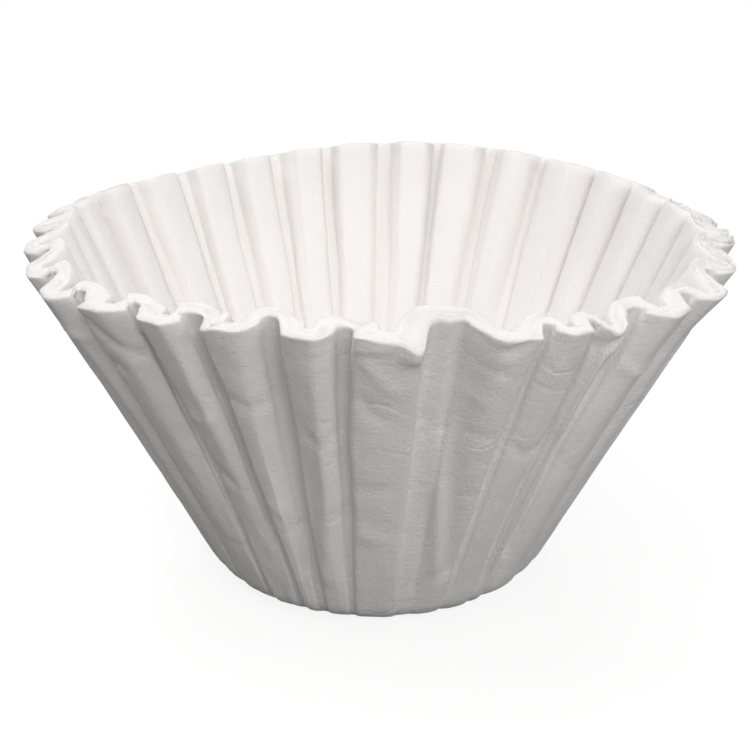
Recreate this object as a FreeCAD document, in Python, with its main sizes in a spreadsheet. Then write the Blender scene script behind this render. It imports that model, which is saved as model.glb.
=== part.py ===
import FreeCAD, Part
import math
import os
import Sketcher

# A basket-shaped paper coffee filter: a flat round base, a rounded corner and a steep conical
# wall folded into uneven flutes. The origin is the centre of the base's underside, +Z is up,
# and azimuths are in degrees, counted from +X towards +Y. Lengths are in millimetres.
#
# The cup is turned as a blank whose wall thickens towards the rim. Tapered grooves cut into its
# outside and tapered hollows cut into its inside leave one layer of even thickness that runs in
# and out, which is the folded paper.

NODE = "fluted_filter"
NARROWEST = 0.25    # a cut's bottom is never narrower than this share of its mouth

# Driving dimensions
SIZES = {
    "rim_radius": 66.75,        # outer edge of the rim, where its edge stands highest
    "rim_height": 69.9,         # from the table to that edge
    "base_radius": 26.7,        # flat part of the base
    "corner_radius": 9.1,       # outside of the rounded corner between base and wall
    "paper_wall": 2.5,          # the pressed layers of paper, measured through the wall
    "flute_depth": 4.2,         # from an outer lobe to a groove's bottom, at the rim
    "groove_slant": 0.35,       # each side of a groove leans by this much at the rim
    "hollow_slant": 0.5,        # each side of a hollow, likewise
    "hollow_share": 0.5,        # a hollow's mouth, as a share of its lobe's width
    "run_out": 0.1,             # how far off the skin a cut's point is, so that it fades out
    "trim_reach": 5.0,          # how far each cut runs past the skin and over the rim
}

# Each flute's outer lobe: azimuth of its middle, width in degrees, and how far its edge drops
FLUTES = [
    (4.0, 8.6, 1.4), (16.7, 8.8, 1.9), (29.3, 8.4, 2.2), (40.3, 7.2, 2.3),
    (54.0, 9.2, 2.2), (66.2, 8.4, 1.7), (77.7, 7.8, 1.6), (88.9, 7.6, 1.9),
    (101.1, 8.6, 2.8), (112.5, 7.8, 3.6), (123.4, 7.4, 4.2), (134.5, 8.2, 4.4),
    (147.6, 9.0, 3.9), (160.0, 8.4, 3.2), (171.5, 7.8, 2.5), (183.0, 8.2, 2.0),
    (194.6, 7.8, 2.1), (205.6, 7.6, 2.6), (217.0, 8.6, 3.4), (229.0, 8.8, 2.4),
    (239.4, 7.2, 1.6), (249.9, 8.6, 1.0), (260.9, 7.0, 0.3), (271.6, 9.6, 0.8),
    (287.7, 9.0, 1.6), (297.4, 5.6, 2.0), (304.6, 4.6, 2.9), (315.8, 9.6, 3.4),
    (327.4, 7.4, 3.1), (339.0, 8.8, 1.9), (351.4, 8.4, 1.6),
]


def make_sheet(doc):
    """The spreadsheet that holds the driving dimensions, one alias to a row."""
    sheet = doc.addObject("Spreadsheet::Sheet", "sizes")
    for row, (name, value) in enumerate(SIZES.items(), start=1):
        sheet.set(f"A{row}", name)
        sheet.set(f"B{row}", str(value))
        sheet.setAlias(f"B{row}", name)
    doc.recompute()
    return sheet


class Cup:
    """Where things lie on the wall, worked out from the sheet."""

    def __init__(self, sheet):
        for name in SIZES:
            setattr(self, name, float(getattr(sheet, name)))
        # The wall's outer face is the line from the rim's edge that is tangent to the corner
        run = self.rim_radius - self.base_radius
        climb = self.rim_height - self.corner_radius
        tilt = math.asin(self.corner_radius / math.hypot(run, climb))
        self.wall_angle = math.atan2(climb, run) + tilt
        self.wall_length = math.sqrt(run ** 2 + climb ** 2 - self.corner_radius ** 2)

    def corner_end(self, depth):
        """Radius and height where the corner's arc meets the wall, at a depth in the paper."""
        reach = self.corner_radius - depth
        return (self.base_radius + reach * math.sin(self.wall_angle),
                self.corner_radius - reach * math.cos(self.wall_angle))

    def wall_point(self, azimuth, along, depth, side=0.0):
        """A point along the wall from its corner, in from its outer face, and to one side."""
        radius, height = self.corner_end(depth)
        radius += along * math.cos(self.wall_angle)
        height += along * math.sin(self.wall_angle)
        turn = math.radians(azimuth)
        return FreeCAD.Vector(radius * math.cos(turn) - side * math.sin(turn),
                              radius * math.sin(turn) + side * math.cos(turn), height)

    def arc_width(self, degrees):
        """Length along the rim of an angle."""
        return math.radians(degrees) * self.rim_radius


def make_blank(doc, cup):
    """The turned cup: floor, rounded corner and a wall that thickens up to the rim."""
    body = doc.addObject("PartDesign::Body", "blank")
    sketch = body.newObject("Sketcher::SketchObject", "profile")
    plane = next(o for o in body.Origin.OriginFeatures if o.Role == "XZ_Plane")
    sketch.AttachmentSupport = (plane, "")
    sketch.MapMode = "FlatFace"

    def spot(radius, height):
        return FreeCAD.Vector(radius, height, 0)

    rim_wall = cup.paper_wall + cup.flute_depth
    lean_in = (-math.sin(cup.wall_angle), math.cos(cup.wall_angle))
    inner_rim = (cup.rim_radius + rim_wall * lean_in[0], cup.rim_height + rim_wall * lean_in[1])
    # The inner face is tangent to the corner's inner arc, so it is a little steeper
    inner_radius = cup.corner_radius - cup.paper_wall
    run = inner_rim[0] - cup.base_radius
    climb = inner_rim[1] - cup.corner_radius
    inner_angle = math.atan2(climb, run) + math.asin(inner_radius / math.hypot(run, climb))
    centre = spot(cup.base_radius, cup.corner_radius)
    inner_end = spot(cup.base_radius + inner_radius * math.sin(inner_angle),
                     cup.corner_radius - inner_radius * math.cos(inner_angle))

    def arc(radius, angle):
        circle = Part.Circle(centre, FreeCAD.Vector(0, 0, 1), radius)
        return Part.ArcOfCircle(circle, -math.pi / 2, angle - math.pi / 2)

    base, corner, wall, rim, inner_wall, inner_corner, floor, axis = range(8)
    sketch.addGeometry([
        Part.LineSegment(spot(0, 0), spot(cup.base_radius, 0)),
        arc(cup.corner_radius, cup.wall_angle),
        Part.LineSegment(spot(*cup.corner_end(0)), spot(cup.rim_radius, cup.rim_height)),
        Part.LineSegment(spot(cup.rim_radius, cup.rim_height), spot(*inner_rim)),
        Part.LineSegment(spot(*inner_rim), inner_end),
        arc(inner_radius, inner_angle),
        Part.LineSegment(spot(cup.base_radius, cup.paper_wall), spot(0, cup.paper_wall)),
        Part.LineSegment(spot(0, cup.paper_wall), spot(0, 0)),
    ], False)
    start, end, middle, origin = 1, 2, 3, -1
    sketch.addConstraint([
        Sketcher.Constraint("Coincident", base, start, origin, 1),
        Sketcher.Constraint("Horizontal", base),
        Sketcher.Constraint("Tangent", base, end, corner, start),
        Sketcher.Constraint("Tangent", corner, end, wall, start),
        Sketcher.Constraint("Coincident", wall, end, rim, start),
        Sketcher.Constraint("Perpendicular", wall, rim),
        Sketcher.Constraint("Coincident", rim, end, inner_wall, start),
        Sketcher.Constraint("Tangent", inner_wall, end, inner_corner, end),
        Sketcher.Constraint("Coincident", inner_corner, middle, corner, middle),
        Sketcher.Constraint("Tangent", inner_corner, start, floor, start),
        Sketcher.Constraint("Horizontal", floor),
        Sketcher.Constraint("Coincident", floor, end, axis, start),
        Sketcher.Constraint("Coincident", axis, end, base, start),
        Sketcher.Constraint("Vertical", axis),
    ])
    dimensions = [
        ("base_radius", "sizes.base_radius",
         Sketcher.Constraint("DistanceX", base, start, base, end, cup.base_radius)),
        ("corner_radius", "sizes.corner_radius",
         Sketcher.Constraint("Radius", corner, cup.corner_radius)),
        ("rim_radius", "sizes.rim_radius",
         Sketcher.Constraint("DistanceX", origin, 1, wall, end, cup.rim_radius)),
        ("rim_height", "sizes.rim_height",
         Sketcher.Constraint("DistanceY", origin, 1, wall, end, cup.rim_height)),
        ("rim_wall", "sizes.paper_wall + sizes.flute_depth",
         Sketcher.Constraint("Distance", rim, start, rim, end, rim_wall)),
        ("floor_wall", "sizes.paper_wall",
         Sketcher.Constraint("DistanceY", base, start, floor, end, cup.paper_wall)),
    ]
    for name, formula, constraint in dimensions:
        sketch.renameConstraint(sketch.addConstraint(constraint), name)
        sketch.setExpression(f"Constraints.{name}", formula)
    turned = body.newObject("PartDesign::Revolution", "turned")
    turned.Profile = sketch
    turned.ReferenceAxis = (sketch, ["V_Axis"])
    turned.Angle = 360
    body.Tip = turned
    return body


def tapered_cut(point, corners):
    """A solid that runs from a point to a four-cornered end."""
    faces = [Part.Face(Part.makePolygon(corners + corners[:1]))]
    for k, corner in enumerate(corners):
        faces.append(Part.Face(Part.makePolygon([point, corner, corners[(k + 1) % 4], point])))
    solid = Part.Solid(Part.Shell(faces))
    return solid if solid.Volume > 0 else solid.reversed()


def taper(cup, azimuth, start_depth, near, far):
    """A cut that widens and deepens from the corner to past the rim. near and far are its depth
    in the paper and half its width at the rim, on the side that it opens to and at its bottom."""
    reach = (cup.wall_length + cup.trim_reach) / cup.wall_length
    corners = []
    for (depth, half), side in ((near, -1), (near, 1), (far, 1), (far, -1)):
        end_depth = start_depth + (depth - start_depth) * reach
        corners.append(cup.wall_point(azimuth, cup.wall_length * reach, end_depth, side * half * reach))
    return tapered_cut(cup.wall_point(azimuth, 0.0, start_depth), corners)


def groove_cuts(cup):
    """One groove between each two outer lobes."""
    cuts = []
    for k, (middle, width, _) in enumerate(FLUTES):
        next_middle, next_width, _ = FLUTES[(k + 1) % len(FLUTES)]
        next_middle += 360 if next_middle < middle else 0
        start = middle + width / 2
        end = next_middle - next_width / 2
        mouth = cup.arc_width(end - start) / 2
        bottom = max(mouth - cup.groove_slant, mouth * NARROWEST)
        flare = (mouth - bottom) * (1 + cup.trim_reach / cup.flute_depth)
        near = (-cup.trim_reach, bottom + flare)
        cuts.append(taper(cup, (start + end) / 2, -cup.run_out, near, (cup.flute_depth, bottom)))
    return cuts


def hollow_cuts(cup):
    """The hollow inside each outer lobe, which is open towards the cup's axis."""
    cuts = []
    inner_face = cup.paper_wall + cup.flute_depth
    for middle, width, _ in FLUTES:
        mouth = cup.arc_width(width) * cup.hollow_share / 2
        bottom = max(mouth - cup.hollow_slant, mouth * NARROWEST)
        flare = (mouth - bottom) * (1 + cup.trim_reach / cup.flute_depth)
        near = (inner_face + cup.trim_reach, bottom + flare)
        cuts.append(taper(cup, middle, cup.paper_wall + cup.run_out, near, (cup.paper_wall, bottom)))
    return cuts


def rim_cut(cup):
    """What lies above the rim, whose edge stands higher at some flutes than at others."""
    slope = math.sin(cup.wall_angle)
    inner_depth = cup.paper_wall + cup.flute_depth + cup.trim_reach
    azimuths = [middle for middle, _, _ in FLUTES]
    edges = {}
    for depth in (-cup.trim_reach, inner_depth):
        points = [cup.wall_point(m, cup.wall_length - drop / slope, depth) for m, _, drop in FLUTES]
        edges[depth] = Part.makePolygon(points + points[:1])

    def level_ring(radius, height):
        turns = [math.radians(azimuth) for azimuth in azimuths]
        points = [FreeCAD.Vector(radius * math.cos(a), radius * math.sin(a), height) for a in turns]
        return Part.makePolygon(points + points[:1])

    above = cup.rim_height + cup.paper_wall + cup.flute_depth + cup.trim_reach
    brim_radius = cup.rim_radius + 2 * cup.trim_reach
    middle_ring = level_ring(cup.base_radius, above)
    brim_ring = level_ring(brim_radius, above + cup.trim_reach)
    rings = [middle_ring, edges[inner_depth], edges[-cup.trim_reach], brim_ring]
    return Part.makeLoft(rings, True, True)


def make_filter(doc, cup, blank):
    """The blank less its grooves, its hollows and what stands over the rim's edge."""
    folds = doc.addObject("Part::Feature", "folds")
    folds.Shape = Part.makeCompound(groove_cuts(cup) + hollow_cuts(cup) + [rim_cut(cup)])
    part = doc.addObject("Part::Cut", NODE)
    part.Label = NODE
    part.Base = blank
    part.Tool = folds
    part.Placement = FreeCAD.Placement()
    return part


def check(doc, parts):
    """Stops before anything is written if a feature failed or a solid is not sound."""
    for item in doc.Objects:
        if "Invalid" in item.State or "Error" in item.State:
            raise RuntimeError(f"{item.Label} failed: {item.State}")
    for part in parts:
        if part.Shape.isNull() or not part.Shape.isValid() or len(part.Shape.Solids) != 1:
            raise RuntimeError(f"{part.Label} is not one valid solid")


def main():
    doc = FreeCAD.newDocument("paper_coffee_filter")
    sheet = make_sheet(doc)
    cup = Cup(sheet)
    blank = make_blank(doc, cup)
    doc.recompute()
    parts = [make_filter(doc, cup, blank)]
    doc.recompute()
    check(doc, parts)
    os.makedirs("parts", exist_ok=True)
    for part in parts:
        part.Shape.exportStep(f"parts/{part.Label}.step")
        print(part.Label, round(part.Shape.Volume, 1), "mm3,", len(part.Shape.Faces), "faces")


main()
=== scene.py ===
import math

import bpy
import numpy as np
from mathutils import Matrix, Vector, noise


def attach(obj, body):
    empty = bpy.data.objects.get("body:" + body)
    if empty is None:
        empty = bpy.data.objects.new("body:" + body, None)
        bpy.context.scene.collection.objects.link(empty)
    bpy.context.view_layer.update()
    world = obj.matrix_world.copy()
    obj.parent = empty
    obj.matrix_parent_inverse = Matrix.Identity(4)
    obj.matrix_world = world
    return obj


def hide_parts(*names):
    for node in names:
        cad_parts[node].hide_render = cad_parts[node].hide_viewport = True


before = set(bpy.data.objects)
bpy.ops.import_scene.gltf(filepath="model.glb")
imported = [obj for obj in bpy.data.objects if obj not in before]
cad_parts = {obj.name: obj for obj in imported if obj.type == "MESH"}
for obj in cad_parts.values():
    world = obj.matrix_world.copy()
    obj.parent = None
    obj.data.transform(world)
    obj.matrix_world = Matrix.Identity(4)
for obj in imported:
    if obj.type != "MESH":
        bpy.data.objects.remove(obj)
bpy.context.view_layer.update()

bl_info = {
    "name": "Paper coffee filter",
    "version": (1, 0, 0),
    "blender": (4, 5, 0),
    "location": "3D View > Sidebar > Coffee filter",
    "description": "A fluted paper coffee filter with its stacked sheet edges, on a studio floor",
    "category": "Object",
}

# A nest of basket-shaped paper coffee filters pressed into one thick fluted cup. The origin is
# the centre of the base's underside, +Z is up and azimuths are in degrees from +X towards +Y.
# The tables below are in degrees and millimetres, everything else is in metres.

MM = 0.001
NODE = "fluted_filter"

# Each row is one outer lobe and the groove that follows it, towards greater azimuths:
# middle and width of the lobe, how far its outer edge and the edge of the inner lobe behind the
# groove drop, how far the groove's bottom leans aside, the bottom's share of the groove's mouth,
# width of the hollow inside the lobe, how much wider that opens (+ before, - after its middle),
# how far the groove has wandered halfway down and at the base, the lobe's crown and its tilt
FLUTES = [
    (4.0, 8.6, 2.5, 3.2, 0.4, 0.8, 2.2, -2.2, 0.4, 0.6, 0.45, 0.3),
    (16.7, 8.8, 3.1, 3.6, -0.3, 0.8, 2.3, -2.6, -0.3, 0.2, 0.6, -0.2),
    (29.3, 8.4, 2.2, 2.6, 0.2, 0.8, 2.1, -1.6, 0.2, -0.4, 0.45, 0.1),
    (40.3, 7.2, 1.8, 2.4, 0.3, 0.7, 2.4, -2.4, -0.6, -0.3, 0.525, -0.3),
    (54.0, 9.2, 1.2, 2.0, -0.2, 0.8, 2.4, -2.0, 0.5, 0.8, 0.6, 0.0),
    (66.2, 8.4, 0.5, 1.7, 0.3, 0.8, 3.2, 2.0, 0.2, 0.5, 0.45, 0.3),
    (77.7, 7.8, 0.4, 1.7, 0.0, 0.8, 2.2, 0.6, -0.4, -0.6, 0.45, -0.2),
    (88.9, 7.6, 0.8, 2.2, 0.2, 0.8, 3.4, 1.4, 0.3, 0.2, 0.525, 0.3),
    (101.1, 8.6, 1.6, 3.1, -0.2, 0.8, 2.4, 0.6, 0.6, 0.9, 0.6, 0.0),
    (112.5, 7.8, 2.6, 3.9, 0.2, 0.8, 3.0, 1.8, -0.2, 0.4, 0.45, -0.3),
    (123.4, 7.4, 3.5, 4.3, 0.3, 0.7, 2.4, 0.9, 0.3, -0.3, 0.525, 0.1),
    (134.5, 8.2, 4.0, 4.5, -0.4, 0.8, 3.0, -2.4, -0.5, 0.2, 0.6, 0.3),
    (147.6, 9.0, 3.9, 4.2, 0.3, 0.8, 2.6, -2.8, 0.4, 0.7, 0.45, -0.3),
    (160.0, 8.4, 3.4, 3.8, 0.4, 0.9, 2.4, -1.8, 0.3, 0.2, 0.6, 0.1),
    (171.5, 7.8, 3.0, 3.6, 0.5, 0.9, 2.4, -1.4, -0.3, -0.5, 0.45, 0.1),
    (183.0, 8.2, 2.7, 3.6, -0.4, 0.9, 2.4, 1.2, 0.4, 0.6, 0.6, -0.2),
    (193.8, 7.6, 2.7, 4.0, -1.2, 0.9, 2.2, 1.4, 0.2, 0.4, 0.45, 0.3),
    (204.4, 7.6, 3.0, 4.4, -2.0, 0.9, 2.4, 1.2, 0.5, 0.8, 0.525, 0.1),
    (215.5, 7.9, 3.1, 4.5, -2.5, 0.95, 2.6, 1.4, 0.8, 0.9, 0.45, 0.3),
    (227.5, 9.8, 2.5, 4.2, -2.4, 0.95, 3.2, 1.6, 1.8, 1.4, 0.6, 0.1),
    (239.2, 7.6, 1.6, 3.1, -1.6, 1.6, 2.2, 1.4, 1.8, 2.6, 0.45, 0.3),
    (249.9, 8.6, 0.9, 1.8, -0.5, 0.85, 2.6, 1.0, -1.2, -3.2, 0.3, -0.1),
    (260.9, 7.0, 0.2, 2.4, 0.2, 1.0, 1.4, 0.4, -1.2, -3.4, 0.6, 0.7),
    (271.6, 9.6, 0.7, 1.0, 0.0, 0.85, 2.4, 0.8, -0.6, 0.0, 0.6, -0.2),
    (287.9, 9.5, 1.5, 3.9, 1.1, 0.8, 3.0, -1.2, -1.6, -0.6, 0.6, 0.3),
    (298.2, 6.2, 2.4, 5.0, 1.1, 0.8, 1.8, -0.8, -0.9, 1.2, 0.45, 0.0),
    (306.0, 4.9, 3.4, 5.0, 1.6, 0.8, 1.4, -0.4, -3.4, -0.6, 0.45, 0.0),
    (317.5, 8.6, 3.6, 4.7, 1.6, 0.9, 3.0, -1.8, -1.4, 0.0, 0.6, -0.2),
    (328.8, 8.0, 3.1, 4.2, 1.4, 0.9, 2.2, -1.4, -0.4, 0.2, 0.45, 0.1),
    (340.2, 8.4, 2.2, 3.4, 0.9, 0.9, 2.4, -1.2, -0.6, 0.1, 0.6, -0.2),
    (351.9, 8.2, 1.7, 2.8, 0.4, 0.8, 2.2, -1.6, 0.2, 0.1, 0.525, 0.3),
]

# Folds and dents pressed into the outer face. Each is a line of (azimuth, share of the wall's
# height) points, then its half width and its height in millimetres, outwards counting as more
OUTER_FOLDS = [
    ([(276.0, 1.02), (275.2, 0.95)], 1.8, 1.35),
    ([(263.4, 1.0), (262.6, 0.84), (260.8, 0.5), (257.2, 0.12)], 1.3, 0.525),
    ([(280.1, 1.0), (279.7, 0.84), (280.0, 0.7), (281.7, 0.5), (286.0, 0.15)], 1.1, 0.675),
    ([(283.4, 0.97), (283.0, 0.84), (283.4, 0.7), (284.8, 0.5), (288.8, 0.15)], 1.7, -0.75),
    ([(255.6, 1.0), (255.0, 0.7), (253.6, 0.4), (251.6, 0.15)], 1.7, -0.45),
    ([(306.3, 0.86), (305.6, 0.75), (304.7, 0.6), (305.6, 0.45), (309.5, 0.14)], 1.0, -0.675),
    ([(308.6, 0.95), (304.6, 0.89), (301.6, 0.84)], 1.1, -1.05),
    ([(224.5, 0.92), (228.5, 0.86), (231.5, 0.84)], 1.0, -0.6),
    ([(268.6, 0.93), (270.6, 0.88), (272.4, 0.84)], 0.95, 0.45),
    ([(267.4, 0.97), (270.6, 0.975)], 0.85, 0.33),
    ([(268.0, 0.82), (269.6, 0.76), (272.0, 0.74)], 1.0, -0.375),
    ([(287.5, 0.95), (290.0, 0.97)], 1.0, -0.45),
    ([(236.0, 0.56), (237.2, 0.5), (240.4, 0.46)], 1.1, -0.525),
    ([(238.0, 0.68), (240.4, 0.66), (242.0, 0.69)], 0.85, 0.375),
    ([(259.0, 0.68), (261.6, 0.655), (263.2, 0.68)], 0.9, -0.33),
    ([(278.0, 0.71), (279.6, 0.66), (281.6, 0.67)], 0.9, -0.375),
    ([(284.8, 0.89), (287.4, 0.885)], 0.9, -0.3),
    ([(283.6, 0.79), (286.2, 0.785)], 0.9, 0.3),
    ([(285.6, 0.68), (288.2, 0.675)], 0.9, -0.3),
    ([(266.6, 0.5), (271.6, 0.505)], 1.0, -0.27),
    ([(267.0, 0.32), (270.8, 0.3)], 1.0, 0.27),
    ([(222.0, 0.8), (226.4, 0.78)], 0.9, -0.45),
    ([(214.0, 0.86), (219.0, 0.83), (221.0, 0.77)], 1.0, 0.45),
    ([(295.0, 0.6), (298.4, 0.57), (300.0, 0.6)], 0.9, -0.375),
    ([(312.0, 0.8), (316.0, 0.77), (319.6, 0.79)], 1.0, 0.45),
    ([(246.6, 0.78), (250.4, 0.75), (253.0, 0.76)], 1.0, -0.33),
    ([(248.6, 0.4), (251.6, 0.38)], 1.0, 0.3),
]

# Lobes within FRONT_REACH degrees of the front have one crisp corner and one soft one
FRONT = 271.0
FRONT_REACH = 95.0

# Dips in the rim: azimuth, half width in degrees, depth at the outer edge and at the inner edge
NICKS = [
    (276.0, 2.2, 1.4, -0.9),
    (268.0, 2.4, -0.7, 1.2),
    (258.6, 1.2, 0.0, 1.2),
    (246.2, 1.4, 0.6, 1.4),
    (222.2, 1.6, 0.3, 1.6),
    (234.0, 1.5, -1.2, 1.0),
    (290.6, 1.5, 0.0, 1.9),
    (306.0, 2.0, 0.8, 0.8),
    (54.0, 1.0, 0.0, 0.5),
    (134.5, 1.2, 0.0, 1.0),
    (123.4, 1.0, 0.0, 0.5),
]

# Where the wall flares out towards the rim: azimuth, half width in degrees, the share of the
# wall's height at which it starts, and how far it goes
FLARES = [
    (212.0, 10.0, 0.6, 1.8),
    (184.0, 10.0, 0.6, -1.1),
    (330.0, 10.0, 0.84, 2.2),
    (262.0, 10.0, 0.8, 0.3),
]

# Where the sheets' edges are ragged: azimuth, half width in degrees, strength
RAGGED = [
    (8.0, 20.0, 1.1),
    (350.0, 14.0, 1.1),
    (152.0, 14.0, 0.6),
    (188.0, 12.0, 0.4),
    (280.0, 3.0, 0.5),
]


class FilterSizes(bpy.types.PropertyGroup):
    """Sizes of the folded paper, the same as the solid's"""

    rim_radius: bpy.props.FloatProperty(
        name="Rim radius", description="Outer edge of the rim, where its edge stands highest",
        default=66.75 * MM, subtype="DISTANCE", unit="LENGTH")
    rim_height: bpy.props.FloatProperty(
        name="Rim height", description="From the table to that edge",
        default=69.9 * MM, subtype="DISTANCE", unit="LENGTH")
    base_radius: bpy.props.FloatProperty(
        name="Base radius", description="Flat part of the base",
        default=26.7 * MM, subtype="DISTANCE", unit="LENGTH")
    corner_radius: bpy.props.FloatProperty(
        name="Corner radius", description="Outside of the rounded corner between base and wall",
        default=9.1 * MM, subtype="DISTANCE", unit="LENGTH")
    paper_wall: bpy.props.FloatProperty(
        name="Paper wall", description="The pressed layers of paper, measured through the wall",
        default=2.5 * MM, subtype="DISTANCE", unit="LENGTH")
    flute_depth: bpy.props.FloatProperty(
        name="Flute depth", description="From an outer lobe to a groove's bottom, at the rim",
        default=4.4 * MM, subtype="DISTANCE", unit="LENGTH")
    sheets: bpy.props.IntProperty(
        name="Sheet edges", description="How many bundles of sheets show their edges on the rim",
        default=10, min=2, max=14)
    edge_height: bpy.props.FloatProperty(
        name="Edge height", description="How far the sheets' edges stand over the rim's pressed core",
        default=0.9 * MM, subtype="DISTANCE", unit="LENGTH")
    seed: bpy.props.IntProperty(
        name="Seed", description="Which of many like wrinkle patterns the paper has", default=3)


class FilterColours(bpy.types.PropertyGroup):
    """Colours of the paper, of its painted shade and of the studio"""

    paper: bpy.props.FloatVectorProperty(
        name="Paper", description="Bleached paper in the light", subtype="COLOR",
        size=3, min=0.0, max=1.0, default=(0.905, 0.887, 0.874))
    # The folds' colour is painted shade with a warm painted bounce, not a tone of the paper: it goes
    # deep into grooves and hollows, and over the rim and the sheets' edges
    fold: bpy.props.FloatVectorProperty(
        name="Folds", description="Warmer paper deep in the folds", subtype="COLOR",
        size=3, min=0.0, max=1.0, default=(0.835, 0.814, 0.796))
    floor: bpy.props.FloatVectorProperty(
        name="Floor", description="Studio floor", subtype="COLOR",
        size=3, min=0.0, max=1.0, default=(0.2, 0.2, 0.2))


# The shape, in numbers


def smooth(x):
    """0 to 1 with a soft start and end."""
    x = np.clip(x, 0.0, 1.0)
    return x * x * (3.0 - 2.0 * x)


def turned(azimuth, other):
    """Signed difference of two azimuths, in degrees."""
    return (azimuth - other + 180.0) % 360.0 - 180.0


def closed_spline(count, samples):
    """Weights of a closed uniform cubic B-spline over count points, samples to a span."""
    rows = []
    for span in range(count):
        for step in range(samples):
            x = step / samples
            row = np.zeros(count)
            row[(span - 1) % count] += (1 - x) ** 3 / 6
            row[span] += (3 * x ** 3 - 6 * x ** 2 + 4) / 6
            row[(span + 1) % count] += (-3 * x ** 3 + 3 * x ** 2 + 3 * x + 1) / 6
            row[(span + 2) % count] += x ** 3 / 6
            rows.append(row)
    return np.array(rows)


class FoldedCup:
    """The cup's wall, and where the flutes' skins run in and out of it."""

    samples = 2             # points to a span of the fold line
    stray = 0.6             # degrees that a lobe's edge may stray
    middle_reach = 8.0      # degrees from the front within which a lobe is the middle one
    middle_softness = 0.15  # of the middle lobe's corners
    crisp_softness = 0.1    # of the crisp corners in front
    back_softness = 0.6     # of all corners behind
    untangled_under = 0.45  # share of the wall's height under which no fold turns back
    evening = 0.15          # how much of an even spacing is mixed into the folds there
    depth_power = 1.05      # at 1 the flutes' depth grows evenly up the wall
    flare_power = 1.3       # at more than 1 a flare keeps to the rim
    rim_swell = 0.48        # millimetres that the soft rim stands over its edges
    rim_bumps = 0.3         # millimetres, the unevenness of that
    waves = 0.55            # millimetres, the long waves down the wall
    dents = 0.13            # millimetres, the short dents across it
    inner_wrinkles = 0.55   # share of the waves and dents that the inner skin has

    # Noise scales
    stray_scales = (3.1, 4.5)       # from lobe to lobe, and from the base to the rim
    wave_scales = (9.0, 25.0)       # round the cup, and up the wall in 1/m
    dent_scales = (26.0, 190.0)
    bump_scales = (300.0, 4.0)      # along the rim in 1/m, and across it

    # Share of a groove's lean at each control point: its bottom leans and its lips stay
    lean_shares = (0.0, 0.0, 0.0, 0.0, 0.1, 0.9, 1.0, 1.0, 1.0, 0.9, 0.1, 0.0, 0.0, 0.0)

    def __init__(self, sizes):
        self.sizes = sizes
        run = sizes.rim_radius - sizes.base_radius
        climb = sizes.rim_height - sizes.corner_radius
        tilt = math.asin(sizes.corner_radius / math.hypot(run, climb))
        self.angle = math.atan2(climb, run) + tilt
        self.length = math.sqrt(run ** 2 + climb ** 2 - sizes.corner_radius ** 2)
        self.corner_length = self.angle * sizes.corner_radius
        self.to_degrees = math.degrees(1.0 / sizes.rim_radius)
        self.fold_lines()

    def fold_lines(self):
        """Control points of both skins at the rim: azimuth and depth, with what moves them below."""
        mm = MM * self.to_degrees
        wall = self.sizes.paper_wall
        deep = self.sizes.flute_depth
        bottom = wall + deep
        outer, inner, lean_of, sway_of = [], [], [], []
        for k, flute in enumerate(FLUTES):
            middle, width, _, _, lean, floor, hollow, opening, half_sway, base_sway, crown, tilt = flute
            before = FLUTES[k - 1]
            after = FLUTES[(k + 1) % len(FLUTES)]
            next_middle = after[0] + (360.0 if after[0] < middle else 0.0)
            next_width, next_hollow, next_opening = after[1], after[6], after[7]
            start = middle + width / 2
            end = next_middle - next_width / 2
            centre = (start + end) / 2
            half = (end - start) / 2 * floor
            left, right = centre - half, centre + half
            crest, next_crest = crown * MM, after[10] * MM
            tip, next_tip = tilt * MM / 2, after[11] * MM / 2
            soft = self.softness(middle, 1.0)
            next_soft = self.softness(next_middle, -1.0)
            reach = min((1.2 + 2.0 * soft) * mm, 0.3 * width)
            next_reach = min((1.2 + 2.0 * next_soft) * mm, 0.3 * next_width)
            # From the lobe's middle over its corner, through the groove and up to the next lobe
            outer += [
                (middle, -crest),
                (middle + (0.25 - 0.16 * soft) * width, -0.85 * crest - tip),
                (start - reach, -0.2 * crest - tip),
                (start - (0.25 + 1.1 * soft) * mm, (-0.25 + 1.3 * soft) * MM - tip),
                (start + 0.05 * mm, (1.8 + 0.5 * soft) * MM),
                (left - 0.1 * mm, deep - 1.2 * MM),
                (left + 0.3 * mm, deep - 0.05 * MM),
                (centre, deep),
                (right - 0.3 * mm, deep - 0.05 * MM),
                (right + 0.1 * mm, deep - 1.2 * MM),
                (end - 0.05 * mm, (1.8 + 0.5 * next_soft) * MM),
                (end + (0.25 + 1.1 * next_soft) * mm, (-0.25 + 1.3 * next_soft) * MM + next_tip),
                (end + next_reach, -0.2 * next_crest + next_tip),
                (next_middle - (0.25 - 0.16 * next_soft) * next_width, -0.85 * next_crest + next_tip),
            ]
            side = (width - hollow * mm) / 2
            next_side = (next_width - next_hollow * mm) / 2
            wide = max(-opening, 0.0) * mm
            next_wide = max(next_opening, 0.0) * mm
            # The same way inside: out of the lobe's hollow, over the inner lobe, into the next hollow
            inner += [
                (middle, wall),
                (middle + 0.3 * hollow * mm, wall),
                (start - side, wall + 0.15 * MM),
                (start - side + 0.15 * wide, wall + 1.2 * MM),
                (left - side + 0.45 * wide, bottom - 1.7 * MM),
                (left - side + wide + 0.6 * mm, bottom - 0.5 * MM),
                (left - side / 2 + wide / 2, bottom + 0.1 * MM),
                (centre, bottom + 0.45 * MM),
                (right + next_side / 2 - next_wide / 2, bottom + 0.1 * MM),
                (right + next_side - next_wide - 0.6 * mm, bottom - 0.5 * MM),
                (right + next_side - 0.45 * next_wide, bottom - 1.7 * MM),
                (end + next_side - 0.15 * next_wide, wall + 1.2 * MM),
                (end + next_side, wall + 0.15 * MM),
                (next_middle - 0.3 * next_hollow * mm, wall),
            ]
            lean_of += [lean * share for share in self.lean_shares]
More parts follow.
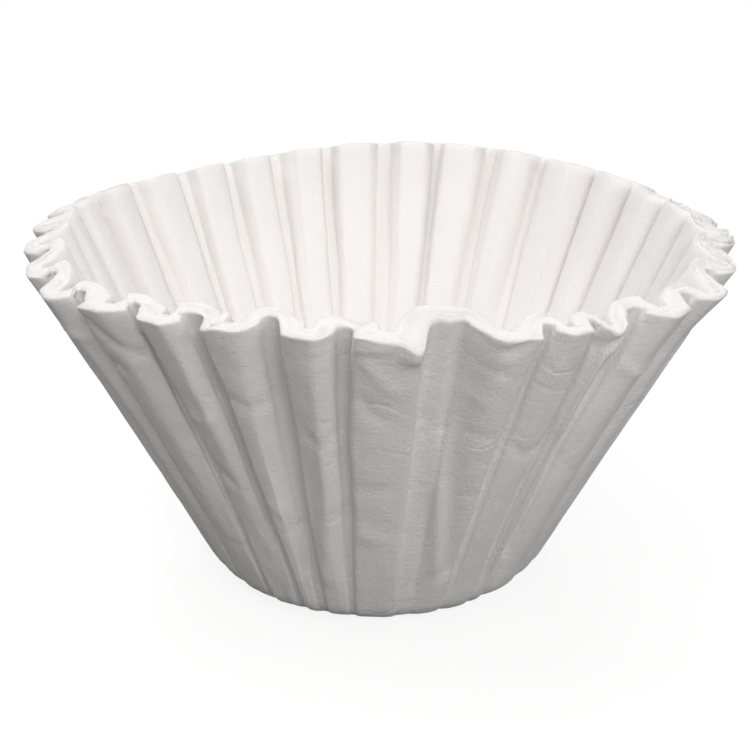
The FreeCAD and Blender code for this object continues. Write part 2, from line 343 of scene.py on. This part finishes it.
            # A lobe goes with the grooves on both its sides
            earlier, here, later = before[8:10], (half_sway, base_sway), after[8:10]
            for share in (0.5, 0.7, 0.9):
                sway_of.append([a + (b - a) * share for a, b in zip(earlier, here)])
            sway_of += [here] * 8
            for share in (0.1, 0.3, 0.4):
                sway_of.append([a + (b - a) * share for a, b in zip(here, later)])
        self.outer_line = np.array(outer)
        self.inner_line = np.array(inner)
        self.lean = np.array(lean_of)
        self.sway = np.array(sway_of)
        self.weights = closed_spline(len(outer), self.samples)
        self.count = len(self.weights)
        # Azimuths run on past 360, so the spline's wrap is taken out before it and put back after
        self.turns = np.arange(len(outer)) * 360.0 / len(outer)
        self.even = np.arange(self.count) * 360.0 / self.count

    def softness(self, azimuth, side):
        """How round a lobe's corner is, from 0 to 1; side is 1 towards greater azimuths."""
        off = float(turned(azimuth, FRONT))
        if abs(off) > FRONT_REACH:
            return self.back_softness
        if abs(off) < self.middle_reach:
            return self.middle_softness
        return self.crisp_softness if off * side > 0 else 1.0

    def skin(self, line, level, held):
        """Azimuth and depth of one skin's points at a level, from 0 at the base to 1 at the rim."""
        bend = level * (1 - level) * 4
        sway = self.sway[:, 0] * bend + self.sway[:, 1] * (1 - level) * (1 - 2 * min(level, 0.5))
        azimuth = line[:, 0] + self.lean * level + sway + self.wander(level)
        keep = smooth(level / self.untangled_under)
        azimuth = azimuth * keep + self.untangled(azimuth) * (1 - keep)
        azimuth = self.weights @ (azimuth - self.turns) + self.even
        depth = held + (line[:, 1] - held) * self.deepening(level)
        return azimuth, self.weights @ depth

    def untangled(self, azimuth):
        """The same azimuths with no turning back, for where the flutes have no depth."""
        forward = np.maximum.accumulate(azimuth)
        backward = np.minimum.accumulate(azimuth[::-1])[::-1]
        middles = [flute[0] for flute in FLUTES] + [FLUTES[0][0] + 360.0]
        places = np.linspace(0, len(azimuth), len(middles))
        even = np.interp(np.arange(len(azimuth)), places, middles)
        return (1 - self.evening) * (forward + backward) / 2 + self.evening * even

    def deepening(self, level):
        """Share of the flutes' full depth at a level."""
        return level ** self.depth_power

    def wander(self, level):
        """How far each lobe's edges stray along the wall, in degrees."""
        stray = []
        apart, up = self.stray_scales
        for k in range(len(FLUTES)):
            left = self.stray * noise.noise((apart * k, up * level, self.sizes.seed + 0.5))
            right = self.stray * noise.noise((apart * k + 60.0, up * level, self.sizes.seed + 0.5))
            stray += [0.0, 0.3 * left] + [left] * 5 + [(left + right) / 2]
            stray += [right] * 5 + [0.3 * right]
        return np.array(stray) * (1.0 - level ** 6)

    def rim_drop(self, azimuth, depth):
        """How far the rim's edge lies under the full length of the wall."""
        middles, _, outer_drops, inner_drops = np.array(FLUTES)[:, :4].T
        gaps = middles + turned(np.roll(middles, -1), middles) / 2
        outer = self.loop(azimuth, middles, outer_drops)
        inner = self.loop(azimuth, gaps, inner_drops)
        for place, wide, out, into in NICKS:
            bump = np.exp(-(turned(azimuth, place) / wide) ** 2)
            outer = outer + out * bump
            inner = inner + into * bump
        share = depth / (self.sizes.paper_wall + self.sizes.flute_depth)
        return (outer + (inner - outer) * share) * MM / math.sin(self.angle)

    @staticmethod
    def loop(azimuth, places, values):
        """Values given at some azimuths, run smoothly round the rim."""
        order = np.argsort(places % 360.0)
        places = (places % 360.0)[order]
        values = values[order]
        places = np.concatenate([places[-2:] - 360.0, places, places[:2] + 360.0])
        values = np.concatenate([values[-2:], values, values[:2]])
        at = azimuth % 360.0
        k = np.clip(np.searchsorted(places, at) - 1, 0, len(places) - 2)
        share = smooth((at - places[k]) / (places[k + 1] - places[k]))
        return values[k] + (values[k + 1] - values[k]) * share

    def place(self, along, azimuth, depth):
        """A point of the paper. along is the way from the base's edge up the outer face."""
        sizes = self.sizes
        phi = np.clip(along / sizes.corner_radius, 0.0, self.angle)
        up = np.maximum(along - self.corner_length, 0.0)
        flat = np.minimum(along, 0.0)
        reach = sizes.corner_radius - depth
        radius = sizes.base_radius + flat + reach * np.sin(phi) + up * math.cos(self.angle)
        height = sizes.corner_radius - reach * np.cos(phi) + up * math.sin(self.angle)
        turn = np.radians(azimuth)
        return np.stack([radius * np.cos(turn), radius * np.sin(turn), height * np.ones_like(turn)], -1)

    def ring(self, line, share, held, folds=()):
        """One ring of a skin. share is 0 at the base's edge and 1 at the rim."""
        azimuth, depth = self.skin(line, share, held)
        full = self.corner_length + self.length
        # The rim rises and falls, and that fades out halfway down the wall
        along = share * full - smooth(2 * share - 1) * self.rim_drop(azimuth, depth)
        depth = depth - self.wrinkles(azimuth, along, share, line is self.outer_line)
        for place, wide, start, out in FLARES:
            reach = (max(share - start, 0.0) / (1.0 - start)) ** self.flare_power
            depth = depth - out * MM * reach * np.exp(-(turned(azimuth, place) / wide) ** 2)
        for points, wide, high in folds:
            depth = depth - self.fold(points, wide * MM, high * MM, azimuth, along)
        return self.place(along, azimuth, depth), azimuth, depth

    def rise(self, azimuth):
        """Unit vectors up along the wall."""
        turn = np.radians(azimuth)
        radial = np.stack([np.cos(turn), np.sin(turn), np.zeros_like(turn)], -1)
        return radial * math.cos(self.angle) + np.array([0.0, 0.0, math.sin(self.angle)])

    def crown(self, edge, share):
        """How far the soft rim stands over its edges."""
        dome = 1.0 - abs(2.0 * share - 1.0) ** 5
        along, across = self.bump_scales
        spots = [(along * point[0], along * point[1], across * share) for point in edge]
        bumps = np.array([noise.noise(spot) for spot in spots])
        return (self.rim_swell + self.rim_bumps * bumps) * MM * dome

    def fold(self, points, wide, high, azimuth, along):
        """Height of one pressed fold over the skin."""
        far = np.full(azimuth.shape, 1.0)
        for (a0, f0), (a1, f1) in zip(points, points[1:]):
            up0 = self.corner_length + f0 * self.length
            up1 = self.corner_length + f1 * self.length
            radius = self.sizes.base_radius + along * math.cos(self.angle)
            x = np.radians(turned(azimuth, a0)) * radius
            run = math.radians(turned(a1, a0)) * radius
            rise = up1 - up0
            share = np.clip((x * run + (along - up0) * rise) / (run ** 2 + rise ** 2), 0.0, 1.0)
            far = np.minimum(far, np.hypot(x - run * share, along - up0 - rise * share))
        return high * np.exp(-(far / wide) ** 2)

    def wrinkles(self, azimuth, along, share, outside):
        """Uneven paper: long soft waves down the wall and short dents across it."""
        seed = self.sizes.seed + (0.0 if outside else 40.0)
        fade = smooth(share / 0.15)
        heights = np.empty(azimuth.shape)
        ups = np.broadcast_to(along, azimuth.shape)
        (wave_round, wave_up), (dent_round, dent_up) = self.wave_scales, self.dent_scales
        for i, (turn, up) in enumerate(zip(np.radians(azimuth), ups)):
            x, y = math.cos(turn), math.sin(turn)
            wave = noise.noise((wave_round * x, wave_round * y, up * wave_up + seed))
            dent = noise.noise((dent_round * x + 5.0, dent_round * y, up * dent_up + seed))
            heights[i] = self.waves * wave + self.dents * dent
        return heights * MM * fade * (1.0 if outside else self.inner_wrinkles)


# Meshes


def closed_tube(rings, pole_start, pole_end):
    """Vertices and faces of rings joined into one closed skin with a pole at each end."""
    count = len(rings[0])
    vertices = np.concatenate([np.concatenate(rings), [pole_start, pole_end]])
    first, last = len(vertices) - 2, len(vertices) - 1
    here = np.arange(count)
    there = (here + 1) % count
    faces = []
    for k in range(len(rings) - 1):
        low, high = k * count, (k + 1) * count
        faces += np.stack([low + here, low + there, high + there, high + here], -1).tolist()
    faces += np.stack([np.full(count, first), there, here], -1).tolist()
    top = (len(rings) - 1) * count
    faces += np.stack([np.full(count, last), top + here, top + there], -1).tolist()
    return vertices, faces


def new_piece(name, vertices, faces, material):
    """A smooth-shaded mesh object at the origin."""
    mesh = bpy.data.meshes.new(name)
    mesh.from_pydata([tuple(v) for v in vertices], [], faces)
    mesh.validate()
    mesh.materials.append(material)
    mesh.shade_smooth()
    piece = bpy.data.objects.new(name, mesh)
    bpy.context.scene.collection.objects.link(piece)
    return piece


def give_values(mesh, name, values):
    """Stores one number for each vertex."""
    attribute = mesh.attributes.new(name, "FLOAT", "POINT")
    attribute.data.foreach_set("value", np.asarray(values, dtype=np.float32))


# Materials


class Socket:
    """A shader value that can be used in a Python expression."""

    def __init__(self, tree, link):
        self.tree = tree
        self.link = link

    def maths(self, operation, *values):
        """A Math node over values, each a socket or a number."""
        node = self.tree.nodes.new("ShaderNodeMath")
        node.operation = operation
        for slot, value in enumerate(values):
            if isinstance(value, Socket):
                self.tree.links.new(value.link, node.inputs[slot])
            else:
                node.inputs[slot].default_value = value
        return Socket(self.tree, node.outputs[0])

    def __add__(self, other):
        return self.maths("ADD", self, other)

    def __radd__(self, other):
        return self.maths("ADD", other, self)

    def __sub__(self, other):
        return self.maths("SUBTRACT", self, other)

    def __rsub__(self, other):
        return self.maths("SUBTRACT", other, self)

    def __mul__(self, other):
        return self.maths("MULTIPLY", self, other)

    def __rmul__(self, other):
        return self.maths("MULTIPLY", other, self)

    def __abs__(self):
        return self.maths("ABSOLUTE", self)

    def clamped(self):
        """The same value, held between 0 and 1."""
        return self.maths("MINIMUM", self.maths("MAXIMUM", self, 0.0), 1.0)


class Paint:
    """A node material with one method that adds any node."""

    def __init__(self, name):
        self.material = bpy.data.materials.new(name)
        self.material.use_nodes = True
        self.tree = self.material.node_tree
        self.tree.nodes.clear()

    def node(self, kind, settings=None, values=None, output=0):
        """An output of a new node; sockets go by name, or by number where names repeat."""
        node = self.tree.nodes.new(kind)
        for name, value in (settings or {}).items():
            setattr(node, name, value)
        for name, value in (values or {}).items():
            if isinstance(value, Socket):
                self.tree.links.new(value.link, node.inputs[name])
            else:
                node.inputs[name].default_value = value
        return Socket(self.tree, node.outputs[output])

    def stretched(self, scale):
        """Object coordinates, stretched."""
        place = self.node("ShaderNodeTexCoord", output="Object")
        return self.node("ShaderNodeMapping", {}, {"Vector": place, "Scale": scale})

    def speckle(self, scale, detail, roughness=0.55):
        return self.node("ShaderNodeTexNoise", {"noise_dimensions": "3D"},
                         {"Vector": self.stretched(scale), "Scale": 1.0, "Detail": detail,
                          "Roughness": roughness}, "Fac")

    def blend(self, share, first, second):
        """A colour between two, which may be sockets or plain colours."""
        first, second = [c if isinstance(c, Socket) else (*c, 1.0) for c in (first, second)]
        # Of a Mix node's inputs, 6 and 7 are its two colours, and of its outputs, 2 is their mix
        return self.node("ShaderNodeMix", {"data_type": "RGBA"}, {0: share, 6: first, 7: second}, 2)

    def finish(self, shader):
        end = self.tree.nodes.new("ShaderNodeOutputMaterial")
        self.tree.links.new(shader.link, end.inputs["Surface"])
        return self.material


class PaperLook:
    """Numbers of the paper's material. Scales are noise scales, in 1/m."""

    fibres = (2400.0, 2400.0, 2400.0)
    crepe = (850.0, 850.0, 1100.0)
    mottle = (110.0, 110.0, 70.0)
    grain = (1500.0, 1500.0, 1500.0)
    # Scale, height and sharpness of the coarse and the fine crinkles
    crinkles = [
        ((75.0, 75.0, 95.0), 0.6, 8.0),
        ((150.0, 150.0, 210.0), 0.4, 10.0),
    ]
    fibre_height = 0.5
    crepe_height = 0.4
    shade = 0.93            # how dark the darker spots are, as a share of the paper's colour
    # painted shade on the sheets' edges: the share of the folds' darker colour blended into them
    edge_painted_shade = 0.8         # how much of the folds' colour the sheets' edges have
    edge_crumple = 0.3      # how crumpled the sheets' edges are, where the cup has up to 1
    bump_strength = 0.7
    bump_distance = 0.4 * MM
    roughness = 0.88
    specular = 0.25


def paper_material(colours, name, folded):
    """Bleached crepe paper: fibres, cross crinkles and painted shade, darker and warmer, deep in the
    folds and on the rim.
    """
    look = PaperLook
    paint = Paint(name)
    fibres = paint.speckle(look.fibres, 3.0)
    crepe = paint.speckle(look.crepe, 2.0, 0.6)
    mottle = paint.speckle(look.mottle, 2.0)
    grain = paint.speckle(look.grain, 2.0)
    shade = tuple(look.shade * c for c in colours.paper)
    base = paint.blend((mottle * 0.6 + grain * 0.9 - 0.35).clamped(), colours.paper, shade)
    if folded:
        # The fold attribute paints shade: the folds' darker, warmer colour goes into grooves and
        # hollows and over the rim
        deep = paint.node("ShaderNodeAttribute", {"attribute_name": "fold"}, output="Fac")
        base = paint.blend(((deep - 0.25) * 1.6).clamped(), base, colours.fold)
        strength = paint.node("ShaderNodeAttribute", {"attribute_name": "crumple"}, output="Fac")
    else:
        # The sheets' edges on the rim get a fixed share of that painted shade
        base = paint.blend(look.edge_painted_shade, base, colours.fold)
        strength = look.edge_crumple
    height = fibres * look.fibre_height + crepe * look.crepe_height * strength
    # Crinkles are thin creases where a noise crosses its middle, in patches
    for scale, high, sharp in look.crinkles:
        crossing = paint.speckle(scale, 1.5, 0.5) - 0.5
        crease = 1.0 - (abs(crossing) * sharp).clamped()
        patches = paint.speckle(tuple(0.6 * s for s in scale), 1.0)
        patch = ((patches - 0.52) * 5.0).clamped()
        height = height - crease * patch * high * strength
    bump = paint.node("ShaderNodeBump", {}, {
        "Height": height, "Strength": look.bump_strength, "Distance": look.bump_distance})
    shader = paint.node("ShaderNodeBsdfPrincipled", {}, {
        "Base Color": base, "Roughness": look.roughness, "Normal": bump,
        "Specular IOR Level": look.specular})
    return paint.finish(shader)


def floor_material(colours):
    """Floor that is white to the camera, keeps the object's shadow and throws little light up."""
    paint = Paint("studio_floor")
    camera = paint.node("ShaderNodeLightPath", output="Is Camera Ray")
    glossy = paint.node("ShaderNodeLightPath", output="Is Glossy Ray")
    through = paint.node("ShaderNodeLightPath", output="Is Transmission Ray")
    seen = (camera + glossy + through).clamped()
    matte = paint.node("ShaderNodeBsdfDiffuse", {}, {"Color": (*colours.floor, 1.0)})
    glow = paint.node("ShaderNodeEmission", {}, {
        "Color": (1.0, 1.0, 1.0, 1.0), "Strength": seen * Studio.floor_glow})
    return paint.finish(paint.node("ShaderNodeAddShader", {}, {0: matte, 1: glow}))


# Pieces


class CupRings:
    """How the rings of the cup are spread over it."""

    floor_rings = (0.35, 0.7)       # radii on the base, as shares of its own
    corner = 8                      # rings on the outside of the corner
    wall = 56                       # rings up the outer face
    inner_wall = 26                 # rings down the inner face
    inner_corner = 5
    rim = (0.04, 0.14, 0.3, 0.5, 0.7, 0.86, 0.96)   # rings over the rim, as shares of its thickness
    crowd = 1.25                    # more than 1 crowds the wall's rings towards the rim


class PaintedShadeAndCrumple:
    """How much painted shade the paper's material gets, from how deep in a fold it is, and how crumpled
    it is, from 0 to 1.
    """

    # painted shade at the bottom of the grooves outside, in the hollows inside, and on the rim
    groove_painted_shade = 0.48               # at the bottom of a groove outside; a hollow inside has 1
    rim_painted_shade = 0.75
    outer_crumple = 1.0
    rim_crumple = 0.6
    inner_crumple = 0.35
    flat_crumple = 0.3              # on the base


def cup_shares(cup, corner, wall):
    """Shares of the way from the base's edge to the rim at which the rings lie."""
    edge = cup.corner_length / (cup.corner_length + cup.length)
    steps = [edge * k / corner for k in range(corner + 1)]
    steps += [1 - (1 - edge) * (1 - k / wall) ** CupRings.crowd for k in range(1, wall + 1)]
    return steps


def rim_lines(cup):
    """The rim's outer and inner edge, and the azimuths along the outer one."""
    outer_edge, turn, _ = cup.ring(cup.outer_line, 1.0, 0.0, OUTER_FOLDS)
    inner_edge, _, _ = cup.ring(cup.inner_line, 1.0, cup.sizes.paper_wall)
    return outer_edge, inner_edge, turn


def build_cup(sizes):
    """Rings of the whole cup from the underside's middle, over the rim, to the floor's middle."""
    cup = FoldedCup(sizes)
    look = PaintedShadeAndCrumple
    rings, folds, crumples = [], [], []

    def add(points, fold, crumple):
        rings.append(points)
        folds.append(np.broadcast_to(fold, (cup.count,)))
        crumples.append(np.full(cup.count, crumple))

    def add_flat(share, depth):
        along = np.full(cup.count, (share - 1) * sizes.base_radius)
        add(cup.place(along, base_turn, depth), 0.0, look.flat_crumple)

    base_turn = cup.skin(cup.outer_line, 0.0, 0.0)[0]
    for share in CupRings.floor_rings:
        add_flat(share, 0.0)
    for share in cup_shares(cup, CupRings.corner, CupRings.wall):
        points, _, depth = cup.ring(cup.outer_line, share, 0.0, OUTER_FOLDS)
        # Painted shade, darker and warmer towards a groove's bottom
        groove = np.clip(depth / sizes.flute_depth, 0.0, 1.0)
        add(points, look.groove_painted_shade * groove, look.outer_crumple)
    outer_edge, inner_edge, turn = rim_lines(cup)
    rise = cup.rise(turn)
    for share in CupRings.rim:
        between = outer_edge + (inner_edge - outer_edge) * share
        crown = cup.crown(outer_edge, share)
        # The rim's top gets painted shade too
        add(between + rise * crown[:, None], look.rim_painted_shade, look.rim_crumple)
    for share in reversed(cup_shares(cup, CupRings.inner_corner, CupRings.inner_wall)):
        points, _, depth = cup.ring(cup.inner_line, share, sizes.paper_wall)
        full = max(sizes.flute_depth * cup.deepening(share), 0.05 * MM)
        # Painted shade in the hollows inside, darker towards the rim
        hollow = np.clip(1 - (depth - sizes.paper_wall) / full, 0.0, 1.0)
        add(points, hollow * share, look.inner_crumple)
    for share in reversed(CupRings.floor_rings):
        add_flat(share, sizes.paper_wall)
    vertices, faces = closed_tube(rings, (0.0, 0.0, 0.0), (0.0, 0.0, sizes.paper_wall))
    # The last two values are those of the two poles
    fold = np.clip(np.concatenate([*folds, [0.0, 0.0]]), 0.0, 1.0)
    crumple = np.concatenate([*crumples, [look.flat_crumple] * 2])
    return vertices, faces, {"fold": fold, "crumple": crumple}


class FILTER_OT_cup(bpy.types.Operator):
    """Fold the pressed paper cup with its uneven flutes"""

    bl_idname = "filter.cup"
    bl_label = "Folded cup"

    def execute(self, context):
        sizes = context.scene.filter_sizes
        material = paper_material(context.scene.filter_colours, "crepe_paper", True)
        vertices, faces, values = build_cup(sizes)
        piece = new_piece("folded_cup", vertices, faces, material)
        for name, numbers in values.items():
            give_values(piece.data, name, numbers)
        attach(piece, "root")
        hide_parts(NODE)
        return {"FINISHED"}


class SheetStack:
    """How the sheets' edges are stacked on the rim."""

    first = 0.12            # share of the wall's thickness at which the stack starts
    spread = 0.8            # share of the wall's thickness that it takes up
    filled = 0.72           # share of a sheet's place that its edge fills
    unevenness = 0.4 * MM
    rounding = 0.4 * MM     # how far the outermost and innermost edges fall
    lift = 0.25 * MM        # how far ragged edges rise
    jaggedness = 5.6        # of ragged edges, against the slow unevenness
    slow_scale = 140.0      # noise scales, in 1/m
    quick_scale = 460.0
    layer_shift = 0.37      # how unlike its neighbour each sheet is


def sheet_edge_tree(material):
    """Geometry Nodes that stack sheet edges between the rim's outer and inner line."""
    tree = bpy.data.node_groups.new("stacked_sheet_edges", "GeometryNodeTree")
    face = tree.interface
    face.new_socket("Geometry", in_out="INPUT", socket_type="NodeSocketGeometry")
    for name, kind in (("Sheets", "Int"), ("Sheet thickness", "Float"), ("Edge height", "Float"),
                       ("Unevenness", "Float"), ("Rounding", "Float"), ("Lift", "Float"),
                       ("Seed", "Float")):
        face.new_socket(name, in_out="INPUT", socket_type=f"NodeSocket{kind}")
    face.new_socket("Geometry", in_out="OUTPUT", socket_type="NodeSocketGeometry")

    def add(kind, settings=None, **values):
        """The first output of a new node; _0 stands for its first input, and so on."""
        node = tree.nodes.new(kind)
        for name, value in (settings or {}).items():
            setattr(node, name, value)
        for slot, value in values.items():
            key = int(slot[1:]) if slot[0] == "_" else slot.replace("_", " ")
            if isinstance(value, bpy.types.NodeSocket):
                tree.links.new(value, node.inputs[key])
            else:
                node.inputs[key].default_value = value
        return node.outputs[0]

    def maths(operation, *values):
        slots = {f"_{k}": value for k, value in enumerate(values)}
        return add("ShaderNodeMath", {"operation": operation}, **slots)

    def scaled(vector, factor):
        return add("ShaderNodeVectorMath", {"operation": "SCALE"}, _0=vector, Scale=factor)

    def total(first, second):
        return add("ShaderNodeVectorMath", {"operation": "ADD"}, _0=first, _1=second)

    def attribute(kind, name):
        return add("GeometryNodeInputNamedAttribute", {"data_type": kind}, Name=name)

    given = tree.nodes.new("NodeGroupInput").outputs
    across = attribute("FLOAT_VECTOR", "across")
    rise = attribute("FLOAT_VECTOR", "rise")
    ragged = attribute("FLOAT", "ragged")
    line = add("GeometryNodeMeshToCurve", Mesh=given["Geometry"])
    copies = add("GeometryNodeDuplicateElements", {"domain": "SPLINE"}, Geometry=line,
                 Amount=given["Sheets"])
    number = copies.node.outputs["Duplicate Index"]
    even = maths("DIVIDE", maths("ADD", number, 0.5), given["Sheets"])
    share = maths("MULTIPLY_ADD", even, SheetStack.spread, SheetStack.first)
    aside = scaled(across, share)

    # Every sheet has its own slowly changing height, and a quick jagged one where it is ragged
    shift = maths("ADD", maths("MULTIPLY", number, SheetStack.layer_shift), given["Seed"])
    spot = add("GeometryNodeInputPosition")
    slow = add("ShaderNodeTexNoise", {"noise_dimensions": "4D"}, Vector=spot, W=shift,
               Scale=SheetStack.slow_scale, Detail=1.0)
    quick = add("ShaderNodeTexNoise", {"noise_dimensions": "4D"}, Vector=spot, W=shift,
                Scale=SheetStack.quick_scale, Detail=2.0)
    jag = maths("MULTIPLY", maths("SUBTRACT", quick, 0.5), ragged)
    both = maths("MULTIPLY_ADD", jag, SheetStack.jaggedness, maths("SUBTRACT", slow, 0.5))
    wavy = maths("MULTIPLY", both, given["Unevenness"])
    up = scaled(rise, maths("MULTIPLY_ADD", ragged, given["Lift"], wavy))

    # The outermost and innermost sheets end lower, so the stack is rounded over
    middle = maths("SUBTRACT", share, 0.5)
    fall = maths("MULTIPLY", maths("MULTIPLY", middle, middle), -4.0)
    down = scaled(rise, maths("MULTIPLY", fall, given["Rounding"]))

    move = total(aside, total(down, up))
    placed = add("GeometryNodeSetPosition", Geometry=copies, Offset=move)
    upright = add("GeometryNodeSetCurveNormal", {"mode": "Z_UP"}, Curve=placed)
    strip = add("GeometryNodeCurvePrimitiveQuadrilateral", {"mode": "RECTANGLE"},
                Width=given["Sheet thickness"], Height=given["Edge height"])
    swept = add("GeometryNodeCurveToMesh", Curve=upright, Profile_Curve=strip)
    solid = add("GeometryNodeRealizeInstances", Geometry=swept)
    painted = add("GeometryNodeSetMaterial", Geometry=solid, Material=material)
    end = tree.nodes.new("NodeGroupOutput")
    tree.links.new(painted, end.inputs[0])
    return tree


class FILTER_OT_sheet_edges(bpy.types.Operator):
    """Stack the edges of the pressed sheets along the rim"""

    bl_idname = "filter.sheet_edges"
    bl_label = "Sheet edges"

    def execute(self, context):
        sizes = context.scene.filter_sizes
        material = paper_material(context.scene.filter_colours, "sheet_edge_paper", False)
        cup = FoldedCup(sizes)
        outer_edge, inner_edge, turn = rim_lines(cup)
        ragged = np.zeros(cup.count)
        for place, wide, high in RAGGED:
            ragged += high * np.exp(-(turned(turn, place) / wide) ** 2)
        mesh = bpy.data.meshes.new("rim_line")
        loop = [(k, (k + 1) % cup.count) for k in range(cup.count)]
        mesh.from_pydata([tuple(p) for p in outer_edge], loop, [])
        for name, values in (("across", inner_edge - outer_edge), ("rise", cup.rise(turn))):
            attribute = mesh.attributes.new(name, "FLOAT_VECTOR", "POINT")
            attribute.data.foreach_set("vector", values.astype(np.float32).ravel())
        give_values(mesh, "ragged", ragged)
        line = bpy.data.objects.new("rim_line", mesh)
        context.scene.collection.objects.link(line)
        tree = sheet_edge_tree(material)
        modifier = line.modifiers.new("Sheet edges", "NODES")
        modifier.node_group = tree
        values = {
            "Sheets": sizes.sheets,
            "Sheet thickness": sizes.paper_wall / sizes.sheets * SheetStack.filled,
            "Edge height": sizes.edge_height,
            "Unevenness": SheetStack.unevenness,
            "Rounding": SheetStack.rounding,
            "Lift": SheetStack.lift,
            "Seed": float(sizes.seed),
        }
        for socket in tree.interface.items_tree:
            if socket.in_out == "INPUT" and socket.name in values:
                modifier[socket.identifier] = values[socket.name]
        context.view_layer.update()
        ready = line.evaluated_get(context.evaluated_depsgraph_get())
        result = bpy.data.meshes.new_from_object(ready)
        bpy.data.objects.remove(line)
        if not result.polygons:
            raise RuntimeError("the sheet edges came out empty")
        result.name = "sheet_edges"
        piece = bpy.data.objects.new("sheet_edges", result)
        context.scene.collection.objects.link(piece)
        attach(piece, "root")
        return {"FINISHED"}


# Stage


class Studio:
    """Camera, lamps and floor."""

    camera_place = (0.0, -0.25436, 0.13899)
    camera_forward = (-0.00033, 0.92853, -0.37127)
    camera_roll = 0.58              # degrees
    focal_pixels = 1378.9
    picture_pixels = 752
    sensor = 36.0                   # millimetres
    clip = (0.01, 20.0)
    floor_reach = 0.45
    floor_glow = 0.845
    world_strength = 0.22
    # Name, azimuth, elevation, width, power and share of blue of each round softbox
    softboxes = [
        ("top_softbox", 0.0, 89.0, 0.9, 3.55, 1.0),
        ("front_softbox", -82.0, 32.0, 0.4, 3.35, 0.98),
        ("right_softbox", -45.0, 20.0, 0.4, 1.6, 0.96),
        ("left_softbox", 180.0, 60.0, 0.6, 3.1, 0.98),
        ("back_softbox", 90.0, 30.0, 0.6, 2.8, 1.0),
    ]
    lamp_distance = 1.0
    lamp_centre = (0.0, 0.0, 0.04)


def aim(item, forward, roll=0.0):
    """Turns a lamp or camera to look along forward."""
    ahead = Vector(forward).normalized()
    right = ahead.cross(Vector((0.0, 0.0, 1.0))).normalized()
    over = right.cross(ahead)
    turn = math.radians(roll)
    right2 = right * math.cos(turn) + over * math.sin(turn)
    over2 = over * math.cos(turn) - right * math.sin(turn)
    item.rotation_euler = Matrix((right2, over2, -ahead)).transposed().to_euler()


class FILTER_OT_stage(bpy.types.Operator):
    """Set the floor, the lamps, the world and the camera"""

    bl_idname = "filter.stage"
    bl_label = "Studio"

    def execute(self, context):
        scene = context.scene
        scene.view_settings.view_transform = "Standard"
        self.lay_floor(scene)
        self.light_world(scene)
        for name, azimuth, elevation, width, power, blue in Studio.softboxes:
            lamp = bpy.data.lights.new(name, "AREA")
            lamp.shape = "DISK"
            lamp.size = width
            lamp.energy = power
            lamp.color = (1.0, (1.0 + blue) / 2, blue)
            item = bpy.data.objects.new(name, lamp)
            scene.collection.objects.link(item)
            turn = math.radians(azimuth)
            lift = math.radians(elevation)
            level = math.cos(lift)
            away = Vector((math.cos(turn) * level, math.sin(turn) * level, math.sin(lift)))
            item.location = Vector(Studio.lamp_centre) + away * Studio.lamp_distance
            aim(item, -away)

        view = bpy.data.cameras.new("photo_camera")
        view.sensor_width = Studio.sensor
        view.lens = Studio.focal_pixels / Studio.picture_pixels * Studio.sensor
        view.clip_start, view.clip_end = Studio.clip
        camera = bpy.data.objects.new("photo_camera", view)
        scene.collection.objects.link(camera)
        camera.location = Studio.camera_place
        aim(camera, Studio.camera_forward, Studio.camera_roll)
        scene.camera = camera
        return {"FINISHED"}

    @staticmethod
    def lay_floor(scene):
        """A square floor under the cup."""
        reach = Studio.floor_reach
        corners = [(reach * x, reach * y, 0.0) for x, y in ((-1, -1), (1, -1), (1, 1), (-1, 1))]
        material = floor_material(scene.filter_colours)
        floor = new_piece("studio_floor", corners, [(0, 1, 2, 3)], material)

    @staticmethod
    def light_world(scene):
        """A world that is plain white to the camera and a dim light to the paper."""
        world = bpy.data.worlds.new("studio")
        scene.world = world
        world.use_nodes = True
        tree = world.node_tree
        tree.nodes.clear()
        path = tree.nodes.new("ShaderNodeLightPath")
        mix = tree.nodes.new("ShaderNodeMixShader")
        tree.links.new(path.outputs["Is Camera Ray"], mix.inputs[0])
        for slot, strength in ((1, Studio.world_strength), (2, 1.0)):
            plain = tree.nodes.new("ShaderNodeBackground")
            plain.inputs["Color"].default_value = (1.0, 1.0, 1.0, 1.0)
            plain.inputs["Strength"].default_value = strength
            tree.links.new(plain.outputs[0], mix.inputs[slot])
        end = tree.nodes.new("ShaderNodeOutputWorld")
        tree.links.new(mix.outputs[0], end.inputs[0])


class FILTER_PT_panel(bpy.types.Panel):
    """Lists the pieces of the filter and their sizes"""

    bl_idname = "FILTER_PT_panel"
    bl_label = "Coffee filter"
    bl_space_type = "VIEW_3D"
    bl_region_type = "UI"
    bl_category = "Coffee filter"

    def draw(self, context):
        for group in (context.scene.filter_sizes, context.scene.filter_colours):
            for name in group.bl_rna.properties.keys():
                if name not in ("rna_type", "name"):
                    self.layout.prop(group, name)
        for operator in (FILTER_OT_cup, FILTER_OT_sheet_edges, FILTER_OT_stage):
            self.layout.operator(operator.bl_idname)


CLASSES = (
    FilterSizes, FilterColours, FILTER_OT_cup, FILTER_OT_sheet_edges, FILTER_OT_stage,
    FILTER_PT_panel,
)


def register():
    for kind in CLASSES:
        bpy.utils.register_class(kind)
    bpy.types.Scene.filter_sizes = bpy.props.PointerProperty(type=FilterSizes)
    bpy.types.Scene.filter_colours = bpy.props.PointerProperty(type=FilterColours)


def unregister():
    del bpy.types.Scene.filter_colours
    del bpy.types.Scene.filter_sizes
    for kind in reversed(CLASSES):
        bpy.utils.unregister_class(kind)


def main():
    register()
    bpy.ops.filter.cup()
    bpy.ops.filter.sheet_edges()
    bpy.ops.filter.stage()


if __name__ == "__main__":
    main()
